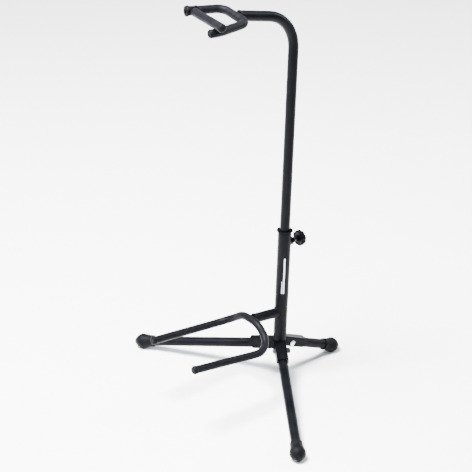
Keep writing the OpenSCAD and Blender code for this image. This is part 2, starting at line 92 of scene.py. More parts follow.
class Graph:
    """A node tree with short calls for adding and joining nodes."""

    def __init__(self, tree: bpy.types.NodeTree) -> None:
        """Keeps the tree that nodes are added to."""
        self.tree = tree

    def node(self, kind: str, **settings: object) -> bpy.types.Node:
        """Adds a node.

        Args:
            kind: The node's type name, such as ShaderNodeTexNoise.
            **settings: Properties by name, and socket values by number as in0=1.0.

        Returns:
            The new node.
        """
        made = self.tree.nodes.new(kind)
        for name, value in settings.items():
            if name.startswith("in") and name[2:].isdigit():
                made.inputs[int(name[2:])].default_value = value
            else:
                setattr(made, name, value)
        return made

    def link(self, source: bpy.types.NodeSocket, target: bpy.types.NodeSocket) -> None:
        """Joins an output to an input."""
        self.tree.links.new(source, target)

    def math(self, operation: str, first: object, second: object = 0.0,
             clamp: bool = False) -> bpy.types.NodeSocket:
        """Adds a Math node whose inputs are sockets or numbers, and gives its output."""
        made = self.node("ShaderNodeMath", operation=operation, use_clamp=clamp)
        for socket, value in zip(made.inputs, (first, second)):
            if isinstance(value, bpy.types.NodeSocket):
                self.link(value, socket)
            else:
                socket.default_value = value
        return made.outputs[0]

    def ramp(self, source: bpy.types.NodeSocket, low: float, high: float) -> bpy.types.NodeSocket:
        """Maps low..high of a value smoothly to 0..1."""
        made = self.node("ShaderNodeMapRange", interpolation_type="SMOOTHSTEP")
        self.link(source, made.inputs["Value"])
        made.inputs["From Min"].default_value = low
        made.inputs["From Max"].default_value = high
        return made.outputs["Result"]

    def mix(self, mask: bpy.types.NodeSocket, first: object, second: object) -> bpy.types.NodeSocket:
        """Mixes two colours by a mask; each is a socket or a triple of numbers."""
        made = self.node("ShaderNodeMix", data_type="RGBA")
        self.link(mask, made.inputs["Factor"])
        colours = [s for s in made.inputs if s.type == "RGBA"]
        for socket, value in zip(colours, (first, second)):
            if isinstance(value, bpy.types.NodeSocket):
                self.link(value, socket)
            else:
                socket.default_value = (*value, 1.0)
        return next(s for s in made.outputs if s.type == "RGBA")


@dataclass
class EffectGroups:
    """Shader node groups that the finishes share. Each is built once."""

    made: dict[str, bpy.types.NodeTree] = field(default_factory=dict)

    def _start(self, name: str, inputs: Iterable[tuple[str, float]],
               outputs: Iterable[tuple[str, str]]) -> tuple[Graph, bpy.types.Node, bpy.types.Node]:
        """Makes an empty group.

        Args:
            name: The group's name.
            inputs: Names and defaults of its number inputs.
            outputs: Names and socket types of its outputs.

        Returns:
            The graph, the group's input node and its output node.
        """
        tree = bpy.data.node_groups.new(name, "ShaderNodeTree")
        for label, value in inputs:
            made = tree.interface.new_socket(label, in_out="INPUT", socket_type="NodeSocketFloat")
            made.default_value = value
        for label, kind in outputs:
            tree.interface.new_socket(label, in_out="OUTPUT", socket_type=kind)
        graph = Graph(tree)
        self.made[name] = tree
        return graph, graph.node("NodeGroupInput"), graph.node("NodeGroupOutput")

    def grain(self) -> bpy.types.NodeTree:
        """Fine skin of a sprayed or moulded surface: a height and a slow cloudy mask."""
        if "skin grain" in self.made:
            return self.made["skin grain"]
        g, start, end = self._start(
            "skin grain", [("Grain Size", 0.5), ("Cloud Size", 30.0)],
            [("Height", "NodeSocketFloat"), ("Cloud", "NodeSocketFloat")])
        place = g.node("ShaderNodeTexCoord").outputs["Object"]
        fine = g.node("ShaderNodeTexNoise", in3=2.0)
        cloud = g.node("ShaderNodeTexNoise", in3=4.0)
        for texture, label in ((fine, "Grain Size"), (cloud, "Cloud Size")):
            g.link(place, texture.inputs["Vector"])
            g.link(g.math("DIVIDE", 1000.0, start.outputs[label]), texture.inputs["Scale"])
        g.link(fine.outputs[0], end.inputs["Height"])
        g.link(g.ramp(cloud.outputs[0], 0.32, 0.68), end.inputs["Cloud"])
        return self.made["skin grain"]

    def dust(self) -> bpy.types.NodeTree:
        """Thin dust that settles on faces that look up, as a mask."""
        if "settled dust" in self.made:
            return self.made["settled dust"]
        g, start, end = self._start(
            "settled dust", [("Amount", 0.5), ("Patch Size", 12.0)], [("Mask", "NodeSocketFloat")])
        normal = g.node("ShaderNodeSeparateXYZ")
        g.link(g.node("ShaderNodeNewGeometry").outputs["Normal"], normal.inputs[0])
        patches = g.node("ShaderNodeTexNoise", in3=6.0)
        g.link(g.node("ShaderNodeTexCoord").outputs["Object"], patches.inputs["Vector"])
        g.link(g.math("DIVIDE", 1000.0, start.outputs["Patch Size"]), patches.inputs["Scale"])
        looks_up = g.ramp(normal.outputs["Z"], 0.15, 1.0)
        patchy = g.math("MULTIPLY", looks_up, g.ramp(patches.outputs[0], 0.35, 0.75))
        g.link(g.math("MULTIPLY", patchy, start.outputs["Amount"], clamp=True), end.inputs["Mask"])
        return self.made["settled dust"]

    def scuffs(self) -> bpy.types.NodeTree:
        """Fine handling scratches, as a mask of thin broken lines."""
        if "handling scuffs" in self.made:
            return self.made["handling scuffs"]
        g, start, end = self._start(
            "handling scuffs", [("Density", 0.5), ("Line Size", 3.0)], [("Mask", "NodeSocketFloat")])
        place = g.node("ShaderNodeMapping", in3=(1.0, 1.0, 0.12))
        g.link(g.node("ShaderNodeTexCoord").outputs["Object"], place.inputs[0])
        lines = g.node("ShaderNodeTexNoise", in3=3.0)
        patch = g.node("ShaderNodeTexNoise", in2=26.0)
        g.link(place.outputs[0], lines.inputs["Vector"])
        g.link(place.outputs[0], patch.inputs["Vector"])
        g.link(g.math("DIVIDE", 1000.0, start.outputs["Line Size"]), lines.inputs["Scale"])
        ridge = g.math("ABSOLUTE", g.math("SUBTRACT", lines.outputs[0], 0.5))
        thin = g.math("SUBTRACT", 1.0, g.ramp(ridge, 0.0, 0.018))
        where = g.ramp(patch.outputs[0], 0.5, 0.72)
        broken = g.math("MULTIPLY", thin, where)
        g.link(g.math("MULTIPLY", broken, start.outputs["Density"], clamp=True), end.inputs["Mask"])
        return self.made["handling scuffs"]

    def pores(self) -> bpy.types.NodeTree:
        """Closed-cell foam skin: small cells and faint diagonal rubbing lines."""
        if "foam pores" in self.made:
            return self.made["foam pores"]
        g, start, end = self._start(
            "foam pores", [("Cell Size", 0.8), ("Line Size", 1.6)],
            [("Height", "NodeSocketFloat"), ("Mask", "NodeSocketFloat")])
        place = g.node("ShaderNodeTexCoord")
        cells = g.node("ShaderNodeTexVoronoi", feature="SMOOTH_F1")
        g.link(place.outputs["Object"], cells.inputs["Vector"])
        g.link(g.math("DIVIDE", 1000.0, start.outputs["Cell Size"]), cells.inputs["Scale"])
        lumps = g.node("ShaderNodeTexNoise", in2=160.0, in3=5.0)
        g.link(place.outputs["Object"], lumps.inputs["Vector"])
        lines = g.node("ShaderNodeTexWave", wave_type="BANDS", bands_direction="DIAGONAL", in2=5.0, in3=2.0)
        g.link(place.outputs["UV"], lines.inputs["Vector"])
        g.link(g.math("DIVIDE", 180.0, start.outputs["Line Size"]), lines.inputs["Scale"])
        height = g.math("ADD", g.math("MULTIPLY", cells.outputs["Distance"], 0.6),
                        g.math("MULTIPLY", lines.outputs["Fac"], 0.25))
        g.link(g.math("ADD", height, g.math("MULTIPLY", lumps.outputs[0], 0.5)), end.inputs["Height"])
        g.link(g.ramp(lumps.outputs[0], 0.35, 0.7), end.inputs["Mask"])
        return self.made["foam pores"]


EFFECTS = EffectGroups()


class FinishGraph(Graph):
    """The graph of one material round its Principled shader."""

    def __init__(self, name: str) -> None:
        """Makes the material and finds its shader."""
        self.material = bpy.data.materials.new(name)
        self.material.use_nodes = True
        super().__init__(self.material.node_tree)
        self.shader = self.tree.nodes["Principled BSDF"]

    def group(self, tree: bpy.types.NodeTree, **values: float) -> bpy.types.Node:
        """Places a shared group and sets its number inputs, written with _ for a space."""
        made = self.node("ShaderNodeGroup")
        made.node_tree = tree
        for label, value in values.items():
            made.inputs[label.replace("_", " ").title()].default_value = value
        return made

    def set(self, **values: float) -> None:
        """Sets numbers on the shader's own sockets, written with _ for a space."""
        for label, value in values.items():
            name = "Specular IOR Level" if label == "specular" else label.replace("_", " ").title()
            self.shader.inputs[name].default_value = value

    def colour(self, source: bpy.types.NodeSocket) -> None:
        """Feeds the base colour."""
        self.link(source, self.shader.inputs["Base Color"])

    def roughness(self, middle: float, cloud: bpy.types.NodeSocket, spread: float,
                  extra: bpy.types.NodeSocket | None = None, extra_gain: float = 0.0) -> None:
        """Feeds a roughness that varies with a cloudy mask and, if given, rises with another."""
        value = self.math("MULTIPLY_ADD", cloud, spread)
        value.node.inputs[2].default_value = middle - spread / 2
        if extra is not None:
            value = self.math("ADD", value, self.math("MULTIPLY", extra, extra_gain))
        self.link(value, self.shader.inputs["Roughness"])

    def bump(self, height: bpy.types.NodeSocket, strength: float, distance_mm: float) -> None:
        """Feeds the normal from a height."""
        made = self.node("ShaderNodeBump", in0=strength, in1=distance_mm * MM)
        self.link(height, made.inputs["Height"])
        self.link(made.outputs[0], self.shader.inputs["Normal"])


# --------------------------------------------------------------------------- finishes


@dataclass(frozen=True)
class SkinFinish:
    """A sprayed or moulded skin: grain, cloudy gloss, dust on top and handling scuffs."""

    name: str
    colour: Color
    cloud_colour: Color
    scuff_colour: Color
    dust_colour: Color
    rough: float
    rough_spread: float
    grain_mm: float
    bump_strength: float
    dust_amount: float
    scuff_density: float
    sheen: float = 0.0
    specular: float = 0.5

    def material(self) -> bpy.types.Material:
        """Builds the material."""
        g = FinishGraph(self.name)
        grain = g.group(EFFECTS.grain(), grain_size=self.grain_mm, cloud_size=28.0)
        dust = g.group(EFFECTS.dust(), amount=self.dust_amount, patch_size=14.0)
        scuff = g.group(EFFECTS.scuffs(), density=self.scuff_density, line_size=2.6)
        tone = g.mix(grain.outputs["Cloud"], self.colour, self.cloud_colour)
        tone = g.mix(scuff.outputs["Mask"], tone, self.scuff_colour)
        g.colour(g.mix(dust.outputs["Mask"], tone, self.dust_colour))
        g.roughness(self.rough, grain.outputs["Cloud"], self.rough_spread, dust.outputs["Mask"], 0.35)
        g.bump(grain.outputs["Height"], self.bump_strength, 0.12)
        g.set(sheen_weight=self.sheen, specular=self.specular)
        return g.material


@dataclass(frozen=True)
class FoamFinish:
    """Closed-cell foam sleeve: cells, faint lines and a soft sheen."""

    name: str
    colour: Color
    worn_colour: Color
    dust_colour: Color
    cell_mm: float
    rough: float
    strength: float

    def material(self) -> bpy.types.Material:
        """Builds the material."""
        g = FinishGraph(self.name)
        pores = g.group(EFFECTS.pores(), cell_size=self.cell_mm, line_size=1.7)
        dust = g.group(EFFECTS.dust(), amount=0.35, patch_size=9.0)
        tone = g.mix(pores.outputs["Mask"], self.colour, self.worn_colour)
        g.colour(g.mix(dust.outputs["Mask"], tone, self.dust_colour))
        g.roughness(self.rough, pores.outputs["Mask"], 0.14)
        g.bump(pores.outputs["Height"], self.strength, 0.35)
        g.set(sheen_weight=0.01, sheen_roughness=0.45, specular=0.035)
        return g.material


@dataclass(frozen=True)
class MetalFinish:
    """Bright plated steel with turning marks and dull specks."""

    name: str
    colour: Color
    dull_colour: Color
    rough: float

    def material(self) -> bpy.types.Material:
        """Builds the material."""
        g = FinishGraph(self.name)
        grain = g.group(EFFECTS.grain(), grain_size=0.25, cloud_size=4.0)
        scuff = g.group(EFFECTS.scuffs(), density=0.7, line_size=0.8)
        tone = g.mix(grain.outputs["Cloud"], self.colour, self.dull_colour)
        g.colour(g.mix(scuff.outputs["Mask"], tone, self.dull_colour))
        g.roughness(self.rough, grain.outputs["Cloud"], 0.16, scuff.outputs["Mask"], 0.2)
        g.bump(grain.outputs["Height"], 0.12, 0.05)
        g.set(metallic=1.0)
        return g.material


@dataclass(frozen=True)
class FloorFinish:
    """Plain pale studio floor."""

    name: str
    colour: Color
    cloud_colour: Color

    def material(self) -> bpy.types.Material:
        """Builds the material."""
        g = FinishGraph(self.name)
        grain = g.group(EFFECTS.grain(), grain_size=1.0, cloud_size=900.0)
        g.colour(g.mix(grain.outputs["Cloud"], self.colour, self.cloud_colour))
        g.roughness(0.75, grain.outputs["Cloud"], 0.1)
        g.set(specular=0.2)
        return g.material


class Finish(Enum):
    """Finishes of the stand, by the name of what they cover."""

    COAT = SkinFinish("satin_black_coat", (0.0014, 0.0014, 0.0022), (0.0023, 0.0023, 0.0033),
                      (0.0120, 0.0126, 0.0156), (0.0060, 0.0060, 0.0072), 0.34, 0.10, 0.55, 0.20, 0.10,
                      0.30, specular=0.033)
    WELD = SkinFinish("coated_weld", (0.0014, 0.0014, 0.0020), (0.0026, 0.0026, 0.0036),
                      (0.0096, 0.0096, 0.0120), (0.0060, 0.0060, 0.0072), 0.42, 0.14, 0.9, 0.6, 0.12, 0.2,
                      specular=0.03)
    SHEET = SkinFinish("satin_black_sheet", (0.0013, 0.0013, 0.0019), (0.0021, 0.0021, 0.0030),
                       (0.0156, 0.0162, 0.0186), (0.0060, 0.0060, 0.0072), 0.38, 0.12, 0.6, 0.25, 0.12, 0.45,
                       specular=0.028)
    PLASTIC = SkinFinish("moulded_black_plastic", (0.0012, 0.0012, 0.0017), (0.0020, 0.0020, 0.0026),
                         (0.0108, 0.0108, 0.0126), (0.0060, 0.0060, 0.0072), 0.40, 0.10, 0.35, 0.3,
                         0.12, 0.25, specular=0.03)
    KNOB = SkinFinish("knob_black_plastic", (0.0011, 0.0011, 0.0014), (0.0018, 0.0018, 0.0023),
                      (0.0108, 0.0108, 0.0126), (0.0060, 0.0060, 0.0066), 0.34, 0.10, 0.30, 0.25, 0.10, 0.3,
                      specular=0.04)
    RUBBER = SkinFinish("moulded_black_rubber", (0.0016, 0.0016, 0.0022), (0.0026, 0.0026, 0.0034),
                        (0.0096, 0.0096, 0.0108), (0.0096, 0.0096, 0.0102), 0.50, 0.12, 0.45, 0.4, 0.22, 0.2,
                        sheen=0.01, specular=0.028)
    FOAM = FoamFinish("foam_sleeve_charcoal", (0.0022, 0.0022, 0.0031), (0.0040, 0.0041, 0.0056),
                      (0.0078, 0.0078, 0.0096), 0.75, 0.50, 0.6)
    CRADLE = FoamFinish("foam_sleeve_smooth", (0.0018, 0.0018, 0.0026), (0.0031, 0.0031, 0.0043),
                        (0.0072, 0.0072, 0.0090), 0.55, 0.44, 0.3)
    ZINC = MetalFinish("bright_zinc", (0.66, 0.67, 0.70), (0.40, 0.41, 0.43), 0.30)
    SCREW = MetalFinish("blackened_steel", (0.060, 0.060, 0.066), (0.035, 0.035, 0.040), 0.36)
    NYLON = SkinFinish("natural_nylon", (0.70, 0.68, 0.60), (0.76, 0.74, 0.67), (0.55, 0.53, 0.47),
                       (0.60, 0.58, 0.52), 0.45, 0.1, 0.4, 0.2, 0.1, 0.3)
    PRINT = SkinFinish("pale_stripe_print", (0.55, 0.56, 0.60), (0.62, 0.63, 0.68), (0.10, 0.10, 0.11),
                       (0.50, 0.50, 0.52), 0.50, 0.1, 0.3, 0.1, 0.05, 0.8)
    FLOOR = FloorFinish("pale_floor", (0.86, 0.86, 0.86), (0.88, 0.88, 0.88))

    def get(self) -> bpy.types.Material:
        """The finish's material, built the first time it is asked for."""
        found = bpy.data.materials.get(self.value.name)
        return found or self.value.material()


def dress(finish: Finish, *nodes: str) -> None:
    """Gives CAD nodes a finish through their objects' material slots.

    Args:
        finish: The finish.
        *nodes: Names of CAD nodes.
    """
    for name in nodes:
        piece = frame["nodes"][name]
        if not piece.material_slots:
            piece.data.materials.append(None)
        for place in piece.material_slots:
            place.link = "OBJECT"
            place.material = finish.get()
        LOG.info("dressed %s in %s", name, finish.value.name)


# --------------------------------------------------------------------------- shapes


def turned(axis: str, degrees: float) -> Matrix:
    """A turn about an axis."""
    return Matrix.Rotation(math.radians(degrees), 4, axis)


def moved(x: float, y: float, z: float) -> Matrix:
    """A move by millimetres, in metres."""
    return Matrix.Translation(Vector((x, y, z)) * MM)


def path_points(start: Matrix, steps: Sequence[Step], spacing: float = 2.5) -> list[Vector]:
    """Points along a bent rod.

    Args:
        start: Frame at the rod's start, with +Z along it.
        steps: (length,) for a straight run, or (radius, angle, roll) for a bend towards +X
            after a roll about +Z, in millimetres and degrees.
        spacing: Distance between points, in millimetres.

    Returns:
        The points, in metres, ends included.
    """
    at, points = start.copy(), [start.translation.copy()]
    for step in steps:
        if len(step) == 1:
            count = max(1, round(step[0] / spacing))
            for i in range(count):
                at = at @ moved(0, 0, step[0] / count)
                points.append(at.translation.copy())
        else:
            radius, angle, roll = step
            count = max(2, round(radius * math.radians(angle) / spacing))
            part = angle / count
            chord = moved(radius * (1 - math.cos(math.radians(part))), 0,
                          radius * math.sin(math.radians(part)))
            at = at @ turned("Z", roll)
            for i in range(count):
                at = at @ chord @ turned("Y", part)
                points.append(at.translation.copy())
    return points


def path_end(start: Matrix, steps: Sequence[Step]) -> Matrix:
    """Frame at the end of a path of steps, with +Z along it."""
    at = start.copy()
    for step in steps:
        if len(step) == 1:
            at = at @ moved(0, 0, step[0])
        else:
            radius, angle, roll = step
            turn = math.radians(angle)
            at = at @ turned("Z", roll) @ moved(radius * (1 - math.cos(turn)), 0, radius * math.sin(turn))
            at = at @ turned("Y", angle)
    return at


Radius = Callable[[float, float, float], float]


def swept(name: str, points: Sequence[Vector], radius: Radius, sides: int = 40,
          closed: bool = False) -> bpy.types.Object:
    """Round tube along points, with UVs in metres.

    Args:
        name: Name of the piece.
        points: Points of the centre line, in metres.
        radius: Radius in millimetres from the distance along in millimetres, the share of
            the whole length, and the angle round in radians.
        sides: Number of sides.
        closed: True for a ring, and False for a tube with closed ends.

    Returns:
        The new object.
    """
    count = len(points)
    travel = [0.0]
    for before, after in zip(points, points[1:]):
        travel.append(travel[-1] + (after - before).length)
    total = travel[-1]
    rows: list[list[Vector]] = []
    side: Vector | None = None
    for i, point in enumerate(points):
        after = points[(i + 1) % count] if closed else points[min(i + 1, count - 1)]
        before = points[i - 1] if closed or i else points[0]
        along = (after - before).normalized()
        side = along.orthogonal() if side is None else side - along * side.dot(along)
        side.normalize()
        other = along.cross(side)
        ring = []
        for k in range(sides):
            angle = 2 * math.pi * k / sides
            size = radius(travel[i] / MM, travel[i] / total, angle) * MM
            ring.append(point + (side * math.cos(angle) + other * math.sin(angle)) * size)
        rows.append(ring)
    vertices = [corner for ring in rows for corner in ring]
    faces, uvs = [], []
    reach = math.tau * radius(0.0, 0.5, 0.0) * MM
    for i in range(count if closed else count - 1):
        a, b = i * sides, ((i + 1) % count) * sides
        for k in range(sides):
            n = (k + 1) % sides
            faces.append((a + k, a + n, b + n, b + k))
            low = travel[i]
            high = travel[i + 1] if i + 1 < count else total
            uvs += [(reach * k / sides, low), (reach * (k + 1) / sides, low),
                    (reach * (k + 1) / sides, high), (reach * k / sides, high)]
    if not closed:
        for ring, flip in ((0, True), (count - 1, False)):
            corners = [ring * sides + k for k in range(sides)]
            faces.append(tuple(reversed(corners)) if flip else tuple(corners))
            uvs += [(0.0, 0.0)] * sides
    return solid(name, vertices, faces, uvs)


def solid(name: str, vertices: Sequence[Vector], faces: Sequence[tuple[int, ...]],
          uvs: Sequence[tuple[float, float]] | None = None) -> bpy.types.Object:
    """A smooth object from corners and faces, with sharp edges kept by angle."""
    mesh = bpy.data.meshes.new(name)
    mesh.from_pydata([tuple(v) for v in vertices], [], list(faces))
    if uvs is not None:
        layer = mesh.uv_layers.new(name="UVMap")
        for slot, uv in zip(layer.data, uvs):
            slot.uv = uv
    mesh.validate()
    mesh.shade_smooth()
    mesh.set_sharp_from_angle(angle=math.radians(38))
    made = bpy.data.objects.new(name, mesh)
    bpy.context.scene.collection.objects.link(made)
    return made


def turned_solid(name: str, place: Matrix, profile: Sequence[tuple[float, float]], sides: int = 64,
                 shape: Callable[[float, float, float], float] | None = None,
                 floor: bool = False) -> bpy.types.Object:
    """Solid of revolution about +Z of a frame.

    Args:
        name: Name of the piece.
        place: Frame of the axis.
        profile: (radius, height) pairs in millimetres from one end to the other.
        sides: Number of sides.
        shape: Optional factor on the radius from radius, height and angle.
        floor: True to flatten what would reach below the floor.

    Returns:
        The new object.
    """
    vertices: list[Vector] = []
    faces: list[tuple[int, ...]] = []
    for radius, height in profile:
        for k in range(sides):
            angle = 2 * math.pi * k / sides
            size = radius * (shape(radius, height, angle) if shape else 1.0)
            corner = place @ (Vector((size * math.cos(angle), size * math.sin(angle), height)) * MM)
            if floor and corner.z < 0.0:
                corner.z = 0.0
            vertices.append(corner)
    for i in range(len(profile) - 1):
        a, b = i * sides, (i + 1) * sides
        faces += [(a + k, a + (k + 1) % sides, b + (k + 1) % sides, b + k) for k in range(sides)]
    faces.append(tuple(reversed(range(sides))))
    last = (len(profile) - 1) * sides
    faces.append(tuple(last + k for k in range(sides)))
    return solid(name, vertices, faces)


def ring_points(place: Matrix, radius: float, height: float, count: int = 64) -> list[Vector]:
    """Points of a circle round +Z of a frame, at a height, in millimetres."""
    turns = (2 * math.pi * i / count for i in range(count))
    return [place @ (Vector((radius * math.cos(t), radius * math.sin(t), height)) * MM) for t in turns]


def ripple(size: float, depth: float, pitch: float) -> Radius:
    """Radius of a weld bead, with ripples along it."""
    def radius(along: float, share: float, angle: float) -> float:
        """Radius at one place of the bead."""
        return size + depth * math.sin(2 * math.pi * along / pitch + 0.8 * math.cos(angle))
    return radius


def rounded(corners: Sequence[Corner], radius: float, steps: int = 4) -> list[Corner]:
    """Rounds the inner corners of a profile.

    Args:
        corners: Corners of the profile, in millimetres.
        radius: Largest rounding radius, as a distance back from each corner.
        steps: Points in each rounding.

    Returns:
        The profile with its corners rounded.
    """
    out = [corners[0]]
    for before, here, after in zip(corners, corners[1:], corners[2:]):
        a, p, b = Vector(before), Vector(here), Vector(after)
        back = min(radius, (a - p).length * 0.45, (b - p).length * 0.45)
        start = p + (a - p).normalized() * back
        end = p + (b - p).normalized() * back
        for i in range(steps + 1):
            t = i / steps
            q = start * (1 - t) ** 2 + p * (2 * t * (1 - t)) + end * t ** 2
            out.append((q.x, q.y))
    out.append(corners[-1])
    return out


def place_piece(piece: bpy.types.Object, body: Body, slot: Slot, finish: Finish,
                *replaced: str) -> bpy.types.Object:
    """Hands a made piece to the frame.

    Args:
        piece: The piece.
        body: The body it rides on.
        slot: The record's material slot; not used.
        finish: Its finish.
        *replaced: CAD nodes that it stands for.

    Returns:
        The piece.
    """
    piece.data.materials.append(finish.get())
    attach(piece, body.value)
    if replaced:
        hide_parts(*replaced)
    LOG.info("made %s on %s", piece.name, body.value)
    return piece


def joint(name: str) -> dict:
    """A joint of the frame by its name."""
    return next(j for j in frame["joints"] if j["name"] == name)


# --------------------------------------------------------------------------- sub-assemblies


@dataclass
class MastFrame:
    """Where the mast stands, read from the frame's own joints."""

    lean: float = 2.6
    foot: Vector = field(default_factory=Vector)

    def __post_init__(self) -> None:
        """Finds the point where the mast's centre line meets the floor."""
        turn = joint("neck_turn")
        axis, point = Vector(turn["axis"]), Vector(turn["pos_m"])
        self.foot = point - axis * (point.z / axis.z)

    def at(self, height: float) -> Matrix:
        """Frame on the mast at a height along it, in millimetres, with +Z up the mast."""
        return Matrix.Translation(self.foot) @ turned("X", -self.lean) @ moved(0, 0, height)


@dataclass
class Mast:
    """Outer tube with its collar, cap, printed stripe and weld of the clamp's nut."""

    frame_at: MastFrame
    tube_d: float = 25.4
    clamp_height: float = 287.0
    print_low: float = 184.0
    print_high: float = 259.0
    print_angle: float = -28.0
    print_width: float = 1.5
    mark_height: float = 102.0
    mark_d: float = 6.0
    print_lift: float = 0.06
    short_stripe: float = 26.0
    short_shift: float = -16.0
    short_share: float = 0.45

    def build(self) -> None:
        """Makes and dresses the mast's pieces."""
        dress(Finish.COAT, "mast_tube", "clamp_nut")
        dress(Finish.PLASTIC, "mast_collar", "mast_cap")
        self._stripes()
        self._mark()
        self._nut_weld()

    def _patch(self, name: str, outline: Sequence[tuple[float, float]]) -> bpy.types.Object:
        """A thin raised print on the tube from (angle, height) corners that form a strip."""
        rim = (self.tube_d / 2 + self.print_lift) * MM
        root = (self.tube_d / 2 - self.print_lift) * MM
        base = self.frame_at.at(0)
        corners = []
        for size in (rim, root):
            for angle, height in outline:
                turn = math.radians(angle)
                corners.append(base @ Vector((size * math.cos(turn), size * math.sin(turn), height * MM)))
        half = len(outline)
        faces = [tuple(range(half)), tuple(reversed(range(half, 2 * half)))]
        faces += [(i, i + half, (i + 1) % half + half, (i + 1) % half) for i in range(half)]
        return solid(name, corners, faces)

    def _stripes(self) -> None:
        """Plain printed pinstripes, one long and one short."""
        width = math.degrees(self.print_width / (self.tube_d / 2))
        low = self.print_low
        rows = ((0.0, self.print_high, 1.0), (self.short_shift, low + self.short_stripe, self.short_share))
        for i, (shift, high, share) in enumerate(rows):
            angle = self.print_angle + shift
            side = width * share
            outline = [(angle - side, low), (angle, low), (angle + side, low),
                       (angle + side, high), (angle, high), (angle - side, high)]
            place_piece(self._patch(f"mast_pinstripe_{i + 1}", outline), Body.STAND, Slot.PAINT, Finish.PRINT)

    def _mark(self) -> None:
        """Plain ring outline, faint, low on the tube."""
        per_mm = math.degrees(1 / (self.tube_d / 2))
        angle = self.print_angle - 6
        count, inner = 28, 0.82
        ring = []
        for size in (self.mark_d / 2, self.mark_d / 2 * inner):
            for i in range(count):
                turn = 2 * math.pi * i / count
                across, rise = size * math.cos(turn), size * math.sin(turn)
                ring.append((angle + across * per_mm, self.mark_height + rise))
        base, corners = self.frame_at.at(0), []
        for lift in (self.print_lift, -self.print_lift):
            for a, h in ring:
                size, turn = (self.tube_d / 2 + lift) * MM, math.radians(a)
                corners.append(base @ Vector((size * math.cos(turn), size * math.sin(turn), h * MM)))
        faces = []
        for i in range(count):
            n = (i + 1) % count
            outer, inner_row, low = 0, count, 2 * count
            faces += [(outer + i, outer + n, inner_row + n, inner_row + i),
                      (low + i, low + inner_row + i, low + inner_row + n, low + n),
                      (outer + i, low + i, low + n, outer + n),
                      (inner_row + i, inner_row + n, low + inner_row + n, low + inner_row + i)]
        place_piece(solid("mast_ring_mark", corners, faces), Body.STAND, Slot.PAINT, Finish.SHEET)

    def _nut_weld(self) -> None:
        """Bead round the nut's root."""
        place = self.frame_at.at(self.clamp_height) @ turned("X", -90)
        rim, tube = 8.0, self.tube_d / 2
        points = []
        for i in range(48):
            turn = 2 * math.pi * i / 48
            x, y = rim * math.cos(turn), rim * math.sin(turn)
            points.append(place @ (Vector((x, y, math.sqrt(max(tube ** 2 - x ** 2, 1.0)))) * MM))
        place_piece(swept("nut_weld", points, ripple(1.0, 0.12, 2.2), 12, True),
                    Body.STAND, Slot.PAINT, Finish.WELD)


